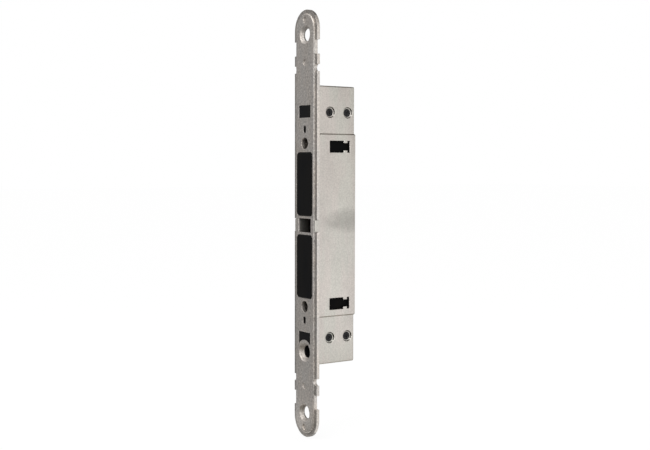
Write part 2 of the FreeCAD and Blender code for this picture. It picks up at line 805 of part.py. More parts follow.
def make_centre_guide():
    """Block between the two carriers, with a peg in each side wall of the case."""
    body = new_body("centre_guide")
    half = case_inner - size.seat_gap
    rise = carrier_low - size.end_gap
    sketch = new_sketch(body, FRONT, size.guide_setback)
    box_outline(sketch, -half, -rise, half, rise)
    rear = case_rear_inner - size.seat_gap
    pad(body, sketch, rear - size.guide_setback)
    ease_rear_edges(body, rear)
    place = ((size.guide_setback + case_rear_inner) / 2, ZERO)
    reach = case_half - size.seat_gap
    turned(body, "Additive", SIDE, place, -reach, reach, size.guide_peg)
    return body


def make_adjusting_screw(label, side):
    """Captive screw: a head in the plate's hole, a collar behind the plate, and a thread."""
    body = new_body(label)
    head = adjuster_head / 2
    collar = adjuster_collar / 2
    shank = size.adjuster_shank / 2
    tip = collar_rear + size.adjuster_reach
    corners = [
        (ZERO, size.adjuster_setback),
        (head, size.adjuster_setback),
        (head, collar_front),
        (collar, collar_front),
        (collar, collar_rear),
        (shank, collar_rear),
        (shank, tip),
        (ZERO, tip),
    ]
    ring_profile(body, corners)
    recess = new_sketch(body, FRONT, size.adjuster_setback)
    arm = size.recess_arm / 2
    blade = size.recess_blade / 2
    cross = [
        (arm, blade), (blade, blade), (blade, arm), (-blade, arm), (-blade, blade), (-arm, blade),
        (-arm, -blade), (-blade, -blade), (-blade, -arm), (blade, -arm), (blade, -blade), (arm, -blade),
    ]
    outline(recess, cross)
    cut_back(body, recess, size.recess_depth)
    bind(body, "Placement.Base.z", adjuster_height * side)
    return body


def make_nut_insert(label, side):
    """Threaded insert in the carrier's ear."""
    body = new_body(label)
    outer = nut_diameter / 2
    inner = adjuster_bore / 2
    rear = ear_front + size.nut_length
    corners = [
        (inner, ear_front),
        (outer, ear_front),
        (outer, rear),
        (inner, rear),
    ]
    ring_profile(body, corners)
    bind(body, "Placement.Base.z", adjuster_height * side)
    return body


def make_magnet_cap(label, side):
    """Black shell over the magnets, whose front face shows in the plate."""
    body = new_body(label)
    front = -size.pad_proud
    shell = new_sketch(body, FRONT, front)
    box_outline(shell, -pad_half, pad_inner * side, pad_half, pad_outer * side, size.pad_corner)
    pad(body, shell, iron_rear - front)
    dress(body, "Chamfer", lambda edge: lies_at(edge, "Y", front), size.pad_edge)
    inside = new_sketch(body, FRONT, front + size.pad_wall)
    half = pad_half - size.pad_wall
    low = (pad_inner + size.pad_wall) * side
    high = (pad_outer - size.pad_wall) * side
    box_outline(inside, -half, low, half, high)
    cut_back(body, inside, iron_rear - front - size.pad_wall)
    return body


def make_magnet_carrier(label, side):
    """Sliding body of a cartridge: it holds the cap and, in its ear, the threaded insert."""
    body = new_body(label)
    main = new_sketch(body, FRONT, carrier_front)
    box_outline(main, -carrier_half, carrier_low * side, carrier_half, carrier_high * side)
    pad(body, main, carrier_rear - carrier_front)
    ear = new_sketch(body, FRONT, ear_front)
    box_outline(ear, -carrier_half, pad_centre * side, carrier_half, ear_high * side)
    pad(body, ear, carrier_rear - ear_front)

    seat = new_sketch(body, FRONT, carrier_front)
    half = pad_half + size.seat_gap
    low = (pad_inner - size.seat_gap) * side
    high = (pad_outer + size.seat_gap) * side
    box_outline(seat, -half, low, half, high)
    cut_back(body, seat, iron_rear - carrier_front)

    place = (ZERO, adjuster_height * side)
    nut_rear = ear_front + size.nut_length
    turned(body, "Subtractive", FRONT, place, ear_front, nut_rear, nut_seat)
    tunnel = size.adjuster_shank + size.tunnel_gap * 2
    turned(body, "Subtractive", FRONT, place, ear_front, carrier_rear, tunnel)

    # Three hollows cored from the rear, with ribs between them.
    core_front = iron_rear + size.carrier_floor
    cores = new_sketch(body, FRONT, core_front)
    core_count = 3
    rib = size.carrier_rib
    span = (carrier_high - carrier_low - rib * (core_count + 1)) / core_count
    core_half = carrier_half - rib
    for index in range(core_count):
        low = carrier_low + rib + (span + rib) * index
        box_outline(cores, -core_half, low * side, core_half, (low + span) * side)
    cut_back(body, cores, carrier_rear - core_front)
    return body


def make_magnet(label, side, half_side):
    """One of the two magnet blocks in a cartridge."""
    body = new_body(label)
    half = pad_half - size.pad_wall - size.seat_gap
    inner = pad_inner + size.pad_wall + size.seat_gap
    outer = pad_outer - size.pad_wall - size.seat_gap
    split = size.magnet_split / 2
    if half_side > 0:
        low, high = pad_centre + split, outer
    else:
        low, high = inner, pad_centre - split
    sketch = new_sketch(body, FRONT, magnet_front)
    box_outline(sketch, -half, low * side, half, high * side)
    pad(body, sketch, size.magnet_thick)
    return body


def make_back_iron(label, side):
    body = new_body(label)
    half = pad_half - size.pad_wall - size.seat_gap
    low = (pad_inner + size.pad_wall + size.seat_gap) * side
    high = (pad_outer - size.pad_wall - size.seat_gap) * side
    sketch = new_sketch(body, FRONT, magnet_rear)
    box_outline(sketch, -half, low, half, high)
    pad(body, sketch, size.iron_thick)
    return body


def build_all():
    parts = [make_front_plate(), make_back_plate(), make_case(), make_cover(), make_centre_guide()]
    for word, side in (("upper", 1), ("lower", -1)):
        parts += [
            make_end_block(f"end_block_{word}", side),
            make_side_screws(f"side_screws_{word}", side),
            make_adjusting_screw(f"adjusting_screw_{word}", side),
            make_nut_insert(f"nut_insert_{word}", side),
            make_magnet_cap(f"magnet_cap_{word}", side),
            make_magnet_carrier(f"magnet_carrier_{word}", side),
            make_magnet(f"magnet_{word}_outer", side, 1),
            make_magnet(f"magnet_{word}_inner", side, -1),
            make_back_iron(f"back_iron_{word}", side),
        ]
    return parts


def check(parts):
    """Stops if any object failed or any shape is empty or not valid."""
    for thing in doc.Objects:
        if "Invalid" in thing.State or "Error" in thing.State:
            raise RuntimeError(f"{thing.Label} failed: {thing.State}")
    for part in parts:
        shape = part.Shape
        if shape.isNull() or not shape.isValid() or not shape.Solids:
            raise RuntimeError(f"{part.Label} has no valid shape")


parts = build_all()
doc.recompute()
check(parts)
for part in parts:
    part.Shape.exportStep(os.path.join("parts", f"{part.Label}.step"))
    box = part.Shape.BoundBox
    print(f"{part.Label}: {len(part.Shape.Solids)} solid(s), {part.Shape.Volume:.1f} mm3, "
          f"Y {box.YMin:.2f} to {box.YMax:.2f}, Z {box.ZMin:.2f} to {box.ZMax:.2f}")
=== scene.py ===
import math

import bmesh
import bpy
from mathutils import Matrix, Vector


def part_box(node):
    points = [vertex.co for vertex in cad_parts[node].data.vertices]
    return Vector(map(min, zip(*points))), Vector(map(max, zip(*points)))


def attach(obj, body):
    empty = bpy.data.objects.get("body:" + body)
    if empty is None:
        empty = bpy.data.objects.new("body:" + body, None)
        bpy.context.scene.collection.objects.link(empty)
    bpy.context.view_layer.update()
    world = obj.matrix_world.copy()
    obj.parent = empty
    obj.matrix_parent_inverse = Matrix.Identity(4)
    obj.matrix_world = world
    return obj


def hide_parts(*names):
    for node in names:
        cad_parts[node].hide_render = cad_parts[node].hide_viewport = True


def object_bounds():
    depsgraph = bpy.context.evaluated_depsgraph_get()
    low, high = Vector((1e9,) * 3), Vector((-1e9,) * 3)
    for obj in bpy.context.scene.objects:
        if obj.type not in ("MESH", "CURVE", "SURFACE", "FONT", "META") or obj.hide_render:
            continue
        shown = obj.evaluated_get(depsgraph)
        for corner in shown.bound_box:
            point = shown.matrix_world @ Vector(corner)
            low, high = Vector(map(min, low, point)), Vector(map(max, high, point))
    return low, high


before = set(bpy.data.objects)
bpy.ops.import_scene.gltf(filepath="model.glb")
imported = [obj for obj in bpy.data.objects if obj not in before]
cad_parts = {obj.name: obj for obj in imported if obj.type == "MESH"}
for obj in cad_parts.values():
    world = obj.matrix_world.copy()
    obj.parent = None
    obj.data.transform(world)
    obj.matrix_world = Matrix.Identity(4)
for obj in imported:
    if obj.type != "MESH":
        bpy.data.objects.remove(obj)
CAD_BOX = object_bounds()

# Lengths are in metres, in the same frame as the solids: X across the plate, +Y into the mortise,
# +Z up, with the origin at the centre of the plate's front face.
MM = 0.001
WELD_DISTANCE = 0.0005 * MM
SHARP_ANGLE = math.radians(28)
ENDS = ("upper", "lower")


# Node helpers

# The mix node has a set of sockets for each kind of value. These are the places of the colours.
MIX_FACTOR, MIX_FIRST, MIX_SECOND, MIX_RESULT = 0, 6, 7, 2
# Most of a noise lies in this band, which vary() spreads over a range of values.
NOISE_BAND = (0.3, 0.7)
BEVEL_SAMPLES = 6


class Tree:
    """Short calls for building one node tree."""

    def __init__(self, tree):
        self.tree = tree
        tree.nodes.clear()

    def add(self, kind, inputs=None, **settings):
        node = self.tree.nodes.new(kind)
        for name, value in settings.items():
            setattr(node, name, value)
        for name, value in (inputs or {}).items():
            self.put(node, name, value)
        return node

    def put(self, node, name, value):
        """Links a socket to an input of the node, or sets the input to a plain value."""
        if isinstance(value, bpy.types.NodeSocket):
            self.tree.links.new(value, node.inputs[name])
        else:
            node.inputs[name].default_value = value

    def math(self, operation, first, second=0.0, third=0.0):
        node = self.add("ShaderNodeMath", operation=operation)
        for index, value in enumerate((first, second, third)):
            self.put(node, index, value)
        return node.outputs[0]

    def product(self, first, *others):
        for other in others:
            first = self.math("MULTIPLY", first, other)
        return first

    def remap(self, value, low, high, to_low=0.0, to_high=1.0, kind="LINEAR"):
        """A value carried from one range to another, and held at the ends."""
        inputs = {"Value": value, "From Min": low, "From Max": high}
        inputs.update({"To Min": to_low, "To Max": to_high})
        node = self.add("ShaderNodeMapRange", inputs, interpolation_type=kind)
        return node.outputs["Result"]

    def smooth_step(self, value, low, high):
        return self.remap(value, low, high, kind="SMOOTHSTEP")

    def vary(self, noise, low, high):
        """A value that follows a noise between two limits."""
        return self.remap(noise, *NOISE_BAND, low, high)

    def mix(self, factor, first, second, blend="MIX"):
        node = self.add("ShaderNodeMix", data_type="RGBA", blend_type=blend)
        self.put(node, MIX_FACTOR, factor)
        self.put(node, MIX_FIRST, first)
        self.put(node, MIX_SECOND, second)
        return node.outputs[MIX_RESULT]

    def shaded(self, base, shade):
        """A colour made lighter or darker by a factor."""
        return self.mix(1.0, base, shade, "MULTIPLY")

    def place(self, stretch=(1.0, 1.0, 1.0)):
        """Object coordinates, stretched along the axes."""
        coordinates = self.add("ShaderNodeTexCoord").outputs["Object"]
        mapping = self.add("ShaderNodeMapping", {"Vector": coordinates, "Scale": stretch})
        return mapping.outputs["Vector"]

    def along(self, axis):
        """Object coordinate along one axis."""
        return self.add("ShaderNodeSeparateXYZ", {"Vector": self.place()}).outputs[axis]

    def off_centre(self):
        """Distance from the plane X = 0."""
        return self.math("ABSOLUTE", self.along("X"))

    def noise(self, size, detail=2.0, stretch=(1.0, 1.0, 1.0)):
        """Noise whose blobs are about the given size across."""
        inputs = {"Vector": self.place(stretch), "Scale": 1.0 / size}
        inputs.update({"Detail": detail, "Roughness": 0.5})
        return self.add("ShaderNodeTexNoise", inputs).outputs["Fac"]

    def rounded(self, edge):
        """The surface's direction, turned near edges as if they were rounded by the given radius."""
        return self.add("ShaderNodeBevel", {"Radius": edge}, samples=BEVEL_SAMPLES).outputs["Normal"]

    def bump(self, height, distance, strength, normal):
        inputs = {"Height": height, "Distance": distance, "Strength": strength, "Normal": normal}
        return self.add("ShaderNodeBump", inputs).outputs["Normal"]

    def facing(self, axis):
        """1 on faces square to the axis, 0 on walls that run along it."""
        coordinates = self.add("ShaderNodeTexCoord").outputs["Normal"]
        part = self.add("ShaderNodeSeparateXYZ", {"Vector": coordinates}).outputs[axis]
        return self.math("ABSOLUTE", part)

    def near_edge(self, normal):
        """0 on flat ground, towards 1 on an edge. normal comes from rounded()."""
        flat = self.add("ShaderNodeNewGeometry").outputs["Normal"]
        match = self.add("ShaderNodeVectorMath", {0: normal, 1: flat}, operation="DOT_PRODUCT")
        return self.remap(match.outputs["Value"], 0.995, 0.8)

    def set_surface(self, surface):
        """Puts a shader on the material's output."""
        output = next(node for node in self.tree.nodes if node.type == "OUTPUT_MATERIAL")
        self.put(output, "Surface", surface)


def colour(red, green, blue):
    return (red, green, blue, 1.0)


def new_material(name):
    """A material with a Principled shader on its output."""
    material = bpy.data.materials.new(name)
    material.use_nodes = True
    tree = Tree(material.node_tree)
    shader = tree.add("ShaderNodeBsdfPrincipled")
    tree.add("ShaderNodeOutputMaterial")
    tree.set_surface(shader.outputs["BSDF"])
    return material, tree, shader


def dress(tree, shader, base, roughness, normal, metallic=0.0):
    """Gives the shader its look. metallic is the same all over."""
    tree.put(shader, "Base Color", base)
    tree.put(shader, "Roughness", roughness)
    tree.put(shader, "Normal", normal)
    shader.inputs["Metallic"].default_value = metallic


# Materials

NICKEL_WARM, NICKEL_COOL = (0.560, 0.520, 0.482), (0.530, 0.505, 0.480)
SHEET_WARM, SHEET_COOL = (0.614, 0.571, 0.532), (0.590, 0.572, 0.526)
OXIDE_DARK, OXIDE_WORN = colour(0.012, 0.012, 0.013), colour(0.045, 0.043, 0.04)
OXIDE_EDGE = colour(0.16, 0.15, 0.14)

# The plates' punched forms, told from how much a face turns to the front: it is 1 on the flat faces,
# less on the slopes of the countersinks, and 0 on the walls of the holes and round the outline.
# These bands place painted highlights and painted shade on the plates' rims, countersinks and hole
# walls.
SLOPE_FACING = (0.92, 0.74)
WALL_FACING = (0.5, 0.3)
RIM_OFF_CENTRE = (8.1 * MM, 8.3 * MM)

# Painted shade on the long walls of the two small slots: how they face, how near the middle
# they are, how deep the painted shade begins, and how much darker it is.
SLOT_FACING = (0.6, 0.9)
SLOT_OFF_CENTRE = (1.6 * MM, 1.4 * MM)
SLOT_DEPTH = (0.1 * MM, 0.3 * MM)
SLOT_PAINTED_SHADE = 0.92

# The walls of the pressed seats: how they face, which places painted shade on them, and how much
# smoother the press leaves them.
SEAT_WALL_FACING = (0.7, 0.9)
SEAT_WALL_SMOOTHER = 0.6

# The darker patch on the cover's right side.
PATCH_BACK, PATCH_HEIGHT = 24 * MM, 2.5 * MM
PATCH_HALF_WIDTH, PATCH_HALF_HEIGHT = 16 * MM, 5.5 * MM
PATCH_WOBBLE = 0.3
PATCH_FADE = (-0.3, 2.1)
PATCH_SIDE = (9.2 * MM, 9.7 * MM)
PATCH_DARKER = 0.29


def metal_base(tree, tone, warm, cool, size, stretch):
    """Two close tones of one metal in soft patches."""
    patches = tree.smooth_step(tree.noise(size, 2.0, stretch), 0.36, 0.64)
    return tree.mix(patches, *(colour(*(tone * part for part in parts)) for parts in (warm, cool)))


def painted_edge_shading(tree, rim_painted_shading, sink_painted_shading, wall_painted_shading):
    """Painted highlight and painted shade on a plate's outer rim, its countersinks and the walls of
    its holes, added to its shade.
    """
    facing = tree.facing("Y")
    slanted = tree.remap(facing, *SLOPE_FACING)
    wall = tree.remap(facing, *WALL_FACING, sink_painted_shading, wall_painted_shading)
    rim = tree.remap(tree.off_centre(), *RIM_OFF_CENTRE)
    gain = tree.math("MULTIPLY_ADD", rim, tree.math("SUBTRACT", rim_painted_shading, wall), wall)
    return tree.product(slanted, gain)


def painted_slot_shade(tree):
    """Painted shade on the long walls of the two small slots, behind their front edge."""
    wall = tree.remap(tree.facing("X"), *SLOT_FACING)
    near = tree.remap(tree.off_centre(), *SLOT_OFF_CENTRE)
    deep = tree.remap(tree.along("Y"), *SLOT_DEPTH)
    return tree.math("MULTIPLY_ADD", tree.product(wall, near, deep), -SLOT_PAINTED_SHADE, 1.0)


def blasted_nickel(name, tone, rim_painted_shading, sink_painted_shading, wall_painted_shading):
    """Face plate: nickel over a blasted surface, with a fine grain and cloudy patches."""
    material, tree, shader = new_material(name)
    clouds = tree.noise(9 * MM, 3.0, (1.0, 1.0, 0.6))
    grain = tree.noise(1.1 * MM, 3.0)
    pits = tree.noise(0.35 * MM)
    base = metal_base(tree, tone, NICKEL_WARM, NICKEL_COOL, 6 * MM, (1.0, 1.0, 0.4))
    shade = tree.product(
        tree.vary(grain, 0.74, 1.27), tree.vary(clouds, 0.96, 1.04), tree.vary(pits, 0.86, 1.12)
    )
    # Painted highlight and painted shade on the rims, countersinks and hole walls.
    shade = tree.math("ADD", shade, painted_edge_shading(tree, rim_painted_shading, sink_painted_shading, wall_painted_shading))
    # Painted shade deep in the two small slots.
    shade = tree.product(shade, painted_slot_shade(tree))
    height = tree.math("MULTIPLY_ADD", grain, 0.6, pits)
    normal = tree.bump(height, 0.03 * MM, 0.9, tree.rounded(0.25 * MM))
    dress(tree, shader, tree.shaded(base, shade), tree.vary(clouds, 0.52, 0.6), normal, metallic=1.0)
    return material


def darker_patch(tree):
    """A slightly darker place across the cover's right side, at its middle."""
    across = tree.math("SUBTRACT", tree.along("Y"), PATCH_BACK)
    across = tree.math("DIVIDE", across, PATCH_HALF_WIDTH)
    upward = tree.math("SUBTRACT", tree.along("Z"), PATCH_HEIGHT)
    upward = tree.math("DIVIDE", upward, PATCH_HALF_HEIGHT)
    far = tree.math("ADD", tree.product(across, across), tree.product(upward, upward))
    far = tree.math("ADD", far, tree.vary(tree.noise(4 * MM, 3.0), -PATCH_WOBBLE, PATCH_WOBBLE))
    dull = tree.math("SUBTRACT", 1.0, tree.smooth_step(far, *PATCH_FADE))
    dull = tree.product(dull, tree.smooth_step(tree.along("X"), *PATCH_SIDE))
    return tree.math("MULTIPLY_ADD", dull, -PATCH_DARKER, 1.0)


def plated_sheet(name, edge, tone=1.0, painted_wall_shade=1.0, patch=False):
    """Case and cover: plated sheet with soft upright bands of warmer and cooler metal.

    The wall shade is painted shade on the steep walls that the press leaves in a side, which the press
    also leaves smoother.
    """
    material, tree, shader = new_material(name)
    clouds = tree.noise(15 * MM, 3.0, (1.0, 1.0, 0.5))
    grain = tree.noise(0.8 * MM)
    rolling = tree.noise(0.35 * MM, 1.0, (1.0, 1.0, 0.03))
    base = metal_base(tree, tone, SHEET_WARM, SHEET_COOL, 6 * MM, (1.0, 1.0, 0.22))
    shade = tree.product(
        tree.vary(clouds, 0.93, 1.06), tree.vary(grain, 0.9, 1.1), tree.vary(rolling, 0.97, 1.03)
    )
    roughness = tree.vary(clouds, 0.36, 0.44)
    if painted_wall_shade != 1.0:
        facing = tree.facing("X")
        # Painted shade on the steep walls of the seats.
        shade = tree.product(shade, tree.remap(facing, *SEAT_WALL_FACING, painted_wall_shade, 1.0))
        smoother = tree.remap(facing, *SEAT_WALL_FACING, SEAT_WALL_SMOOTHER, 1.0)
        roughness = tree.product(roughness, smoother)
    if patch:
        shade = tree.product(shade, darker_patch(tree))
    height = tree.math("MULTIPLY_ADD", rolling, 0.5, grain)
    normal = tree.bump(height, 0.007 * MM, 0.8, tree.rounded(edge))
    dress(tree, shader, tree.shaded(base, shade), roughness, normal, metallic=1.0)
    return material


def moulded_plastic(name, shade, roughness, gloss):
    """Black moulded plastic with a fine eroded texture and faint flow marks."""
    material, tree, shader = new_material(name)
    texture = tree.noise(0.5 * MM, 3.0)
    flow = tree.noise(7 * MM, 2.0, (1.0, 1.0, 0.3))
    base = tree.mix(
        tree.smooth_step(flow, 0.35, 0.65),
        colour(shade * 0.85, shade * 0.88, shade * 0.98),
        colour(shade * 1.2, shade * 1.13, shade * 1.05),
    )
    normal = tree.bump(texture, 0.012 * MM, 0.8, tree.rounded(0.12 * MM))
    dress(tree, shader, base, tree.vary(texture, roughness - 0.06, roughness + 0.07), normal)
    shader.inputs["Specular IOR Level"].default_value = gloss
    return material


def black_oxide(name):
    """Blackened steel, worn lighter in spots and along its edges."""
    material, tree, shader = new_material(name)
    wear = tree.noise(0.8 * MM, 3.0)
    fine = tree.noise(0.15 * MM)
    rounding = tree.rounded(0.06 * MM)
    base = tree.mix(tree.smooth_step(wear, 0.55, 0.75), OXIDE_DARK, OXIDE_WORN)
    base = tree.mix(tree.product(tree.near_edge(rounding), 0.5), base, OXIDE_EDGE)
    normal = tree.bump(fine, 0.004 * MM, 0.6, rounding)
    dress(tree, shader, base, tree.vary(wear, 0.5, 0.38), normal, metallic=0.6)
    return material


def turned_metal(name, light, dark, rough):
    """Turned or ground metal with fine marks and faint staining."""
    material, tree, shader = new_material(name)
    stain = tree.noise(2.5 * MM, 3.0)
    marks = tree.noise(0.12 * MM)
    base = tree.mix(tree.smooth_step(stain, 0.35, 0.7), colour(*light), colour(*dark))
    normal = tree.bump(marks, 0.004 * MM, 0.5, tree.rounded(0.06 * MM))
    dress(tree, shader, base, tree.vary(stain, rough - 0.05, rough + 0.07), normal, metallic=1.0)
    return material


# Front plate: painted shade on its outline, painted highlights on its countersinks and hole walls.
FACE_METAL = blasted_nickel("blasted_nickel_front", 1.0, rim_painted_shading=-0.14, sink_painted_shading=0.1, wall_painted_shading=0.45)
# Back plate: a darker copy of the same nickel, as painted shade on the ledge between the layers;
# painted highlight on its outer side wall and painted shade in its bores.
BACK_METAL = blasted_nickel("blasted_nickel_back", 0.74, rim_painted_shading=0.64, sink_painted_shading=0.3, wall_painted_shading=-0.15)
CASE_METAL = plated_sheet("plated_case", edge=0.35 * MM)
# The seats: a darker copy of the case's sheet as painted shade, and painted shade on their steep
# walls.
SEAT_METAL_PAINTED_SHADE = plated_sheet("pressed_seat", edge=0.1 * MM, tone=0.84, painted_wall_shade=0.42)
COVER_METAL = plated_sheet("plated_cover", edge=0.45 * MM, patch=True)
PAD_PLASTIC = moulded_plastic("cartridge_face_black", shade=0.0034, roughness=0.5, gloss=0.07)
INNER_PLASTIC = moulded_plastic("moulded_black", shade=0.0026, roughness=0.5, gloss=0.03)
END_PLASTIC = moulded_plastic("moulded_end_block", shade=0.0062, roughness=0.5, gloss=0.06)
SCREW_BLACK = black_oxide("black_oxide_screw")
ZINC = turned_metal("zinc_steel", (0.52, 0.52, 0.52), (0.38, 0.38, 0.37), rough=0.32)
# Zinc steel darkened as painted shade, for the adjusting screws that sit deep in their holes.
ZINC_PAINTED_SHADE = turned_metal("zinc_painted_shade", (0.038, 0.033, 0.029), (0.009, 0.008, 0.007), rough=0.35)
BRASS = turned_metal("turned_brass", (0.66, 0.49, 0.23), (0.52, 0.36, 0.16), rough=0.28)
MAGNET_PLATING = turned_metal("magnet_nickel", (0.6, 0.59, 0.56), (0.52, 0.51, 0.49), rough=0.22)

FINISHES = {
    "front_plate": FACE_METAL,
    "back_plate": BACK_METAL,
    "case": CASE_METAL,
    "cover": COVER_METAL,
    "centre_guide": INNER_PLASTIC,
}
for end in ENDS:
    FINISHES.update({
        f"end_block_{end}": END_PLASTIC,
        f"magnet_cap_{end}": PAD_PLASTIC,
        f"magnet_carrier_{end}": INNER_PLASTIC,
        f"back_iron_{end}": ZINC,
        f"nut_insert_{end}": BRASS,
        f"magnet_{end}_outer": MAGNET_PLATING,
        f"magnet_{end}_inner": MAGNET_PLATING,
        f"side_screws_{end}": SCREW_BLACK,
        f"adjusting_screw_{end}": ZINC_PAINTED_SHADE,
    })


# Smooth shading on the round faces of the solids

def smooth_group(name, angle):
    """A modifier group that shades smooth and keeps edges sharper than the angle."""
    group = bpy.data.node_groups.new(name, "GeometryNodeTree")
    group.interface.new_socket("Geometry", in_out="INPUT", socket_type="NodeSocketGeometry")
    group.interface.new_socket("Geometry", in_out="OUTPUT", socket_type="NodeSocketGeometry")
    tree = Tree(group)
    source = tree.add("NodeGroupInput")
    whole = tree.add("GeometryNodeSetShadeSmooth", {"Geometry": source.outputs[0]}, domain="FACE")
    turn = tree.add("GeometryNodeInputMeshEdgeAngle").outputs["Unsigned Angle"]
    sharp = tree.add("FunctionNodeCompare", {0: turn, 1: angle}, operation="GREATER_THAN")
    inputs = {"Geometry": whole.outputs[0], "Selection": sharp.outputs[0], "Shade Smooth": False}
    edges = tree.add("GeometryNodeSetShadeSmooth", inputs, domain="EDGE")
    tree.add("NodeGroupOutput", {0: edges.outputs[0]})
    return group


SMOOTH = smooth_group("smooth_round_faces", SHARP_ANGLE)


def finish_solid(node, material):
    """Gives a solid its material and smooth round faces."""
    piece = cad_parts[node]
    piece.data.materials.clear()
    piece.data.materials.append(material)
    piece.modifiers.new("join_faces", "WELD").merge_threshold = WELD_DISTANCE
    piece.modifiers.new("smooth", "NODES").node_group = SMOOTH


for node, material in FINISHES.items():
    finish_solid(node, material)


# Meshes made of rings

def band_faces(first, second, count):
    """The faces between two rings, given by their numbers. Each ring has count points."""
    low, high = first * count, second * count
    steps = [(index, (index + 1) % count) for index in range(count)]
    return [(low + index, low + after, high + after, high + index) for index, after in steps]


def turned_mesh(name, rings, angles, frame_of):
    """A closed mesh from rings of (distance along, radius). frame_of maps along, across, up."""
    points, faces = [], []
    count = len(angles)
    for along, radius in rings:
        for angle in angles:
            reach = radius(angle) if callable(radius) else radius
            points.append(frame_of(along, reach * math.cos(angle), reach * math.sin(angle)))
    for ring in range(len(rings) - 1):
        faces += band_faces(ring, ring + 1, count)
    for ring, flip in ((0, True), (len(rings) - 1, False)):
        centre = len(points)
        points.append(frame_of(rings[ring][0], 0.0, 0.0))
        for index in range(count):
            pair = (ring * count + index, ring * count + (index + 1) % count)
            faces.append((centre, *(reversed(pair) if flip else pair)))
    mesh = bpy.data.meshes.new(name)
    mesh.from_pydata(points, [], faces)
    return mesh


def new_piece(name, meshes, material):
    """One object from several meshes, with its faces turned outward."""
    whole = bmesh.new()
    for mesh in meshes:
        whole.from_mesh(mesh)
        bpy.data.meshes.remove(mesh)
    bmesh.ops.remove_doubles(whole, verts=whole.verts, dist=WELD_DISTANCE)
    bmesh.ops.recalc_face_normals(whole, faces=whole.faces)
    mesh = bpy.data.meshes.new(name)
    whole.to_mesh(mesh)
    whole.free()
    mesh.materials.append(material)
    piece = bpy.data.objects.new(name, mesh)
    bpy.context.scene.collection.objects.link(piece)
    piece.modifiers.new("smooth", "NODES").node_group = SMOOTH
    return piece


# Screws with their recess and thread

QUARTER = math.radians(90)
TINY = 1e-9
# The recess narrows with depth: parts of its full depth, and of its width there.
RECESS_TAPER = ((1.0, 0.55), (0.35, 0.86), (0.0, 1.0))
# Rings for each turn of a thread, and how much its flanks are steepened, which leaves a flat crest.
THREAD_STEPS = 7
THREAD_STEEPER = 1.25


def cross_radius(angle, arm, blade):
    """Distance from the centre to the edge of a cross, in one direction."""
    across, up = abs(math.cos(angle)), abs(math.sin(angle))
    level = min(arm / max(across, TINY), blade / max(up, TINY))
    upright = min(blade / max(across, TINY), arm / max(up, TINY))
    return max(level, upright)


def cross_angles(cross):
    """Angles round a full turn that include every corner of the cross.

    Each quarter is even about its middle, and has some angles between the corners for a round rim.
    """
    corner = math.atan2(cross["blade"], cross["arm"])
    quarter = [0.0, corner * 0.5, corner, corner * 1.6, math.radians(28), QUARTER / 2]
    quarter += [QUARTER - angle for angle in reversed(quarter[1:-1])]
    return [angle + QUARTER * turn for turn in range(4) for angle in quarter]


def thread_rings(start, end, outer, depth, pitch):
    """Rings along a screw thread. Each ring's radius changes round the screw."""
    rings = []
    count = max(2, round((end - start) / pitch * THREAD_STEPS))
    for index in range(count + 1):
        along = start + (end - start) * index / count
        fade = min(1.0, (along - start) / pitch, (end - along) / pitch)

        def radius(angle, along=along, fade=fade):
            turn = (along / pitch - angle / (2 * math.pi)) % 1.0
            crest = 1.0 - abs(turn * 2.0 - 1.0)
            return outer - depth + depth * min(1.0, crest * THREAD_STEEPER) * max(fade, 0.0)

        rings.append((along, radius))
    return rings


def screw_head_rings(top, thick, radius, rounding, cross, way):
    """Rings from the recess floor out over the rim. way is the direction in which depth grows."""
    def recess(scale):
        return lambda angle: cross_radius(angle, cross["arm"] * scale, cross["blade"] * scale)

    rings = [(top + way * cross["depth"] * part, recess(scale)) for part, scale in RECESS_TAPER]
    rings.append((top, radius - rounding))
    for step in (1, 2, 3):
        turn = QUARTER * step / 3
        inward = radius - rounding * (1 - math.sin(turn))
        rings.append((top + way * rounding * (1 - math.cos(turn)), inward))
    rings.append((top + way * thick, radius))
    return rings


def turned_by(turn, across, up):
    """A point of a screw's cross-section, turned about the screw's axis."""
    spun = Matrix.Rotation(turn, 2) @ Vector((across, up))
    return spun.x, spun.y


# Both kinds of screw: head and shank are radii, and the neck is the plain part ahead of the thread.
SIDE_SCREW = {
    "head_thick": 0.7 * MM,
    "head_rounding": 0.12 * MM,
    "shank": 1.18 * MM,
    "neck": 0.5 * MM,
    "thread_depth": 0.22 * MM,
    "pitch": 0.8 * MM,
}
SIDE_CROSS = {"arm": 1.25 * MM, "blade": 0.34 * MM, "depth": 0.5 * MM}
# How far the cross of each side screw is turned, in radians, from the front one to the rear one.
SIDE_SCREW_TURNS = {"upper": (0.3, 1.1), "lower": (0.75, 0.15)}


def side_screw_places(end):
    """Where the two side screws at one end of the case sit. It comes from the solids' box."""
    low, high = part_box(f"side_screws_{end}")
    head = (high[2] - low[2]) / 2
    return {
        "tip": low[0],
        "top": high[0],
        "head": head,
        "height": (low[2] + high[2]) / 2,
        "setbacks": (low[1] + head, high[1] - head),
    }


def add_side_screws(end):
    """Both screws at one end of the case, in the place of the plain solids."""
    place, screw = side_screw_places(end), SIDE_SCREW
    top, shank = place["top"], screw["shank"]
    under = top - screw["head_thick"]
    meshes = []
    for setback, turn in zip(place["setbacks"], SIDE_SCREW_TURNS[end]):
        def frame_of(along, across, up, setback=setback, turn=turn):
            back, rise = turned_by(turn, across, up)
            return along, setback + back, place["height"] + rise

        rings = screw_head_rings(
            top, screw["head_thick"], place["head"], screw["head_rounding"], SIDE_CROSS, -1
        )
        rings.append((under, shank))
        thread_end = under - screw["neck"]
        thread = thread_rings(place["tip"], thread_end, shank, screw["thread_depth"], screw["pitch"])
        rings += reversed(thread)
        meshes.append(turned_mesh("side_screw", rings, cross_angles(SIDE_CROSS), frame_of))
    piece = new_piece(f"side_screw_set_{end}", meshes, SCREW_BLACK)
    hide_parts(f"side_screws_{end}")
    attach(piece, "latch_frame")


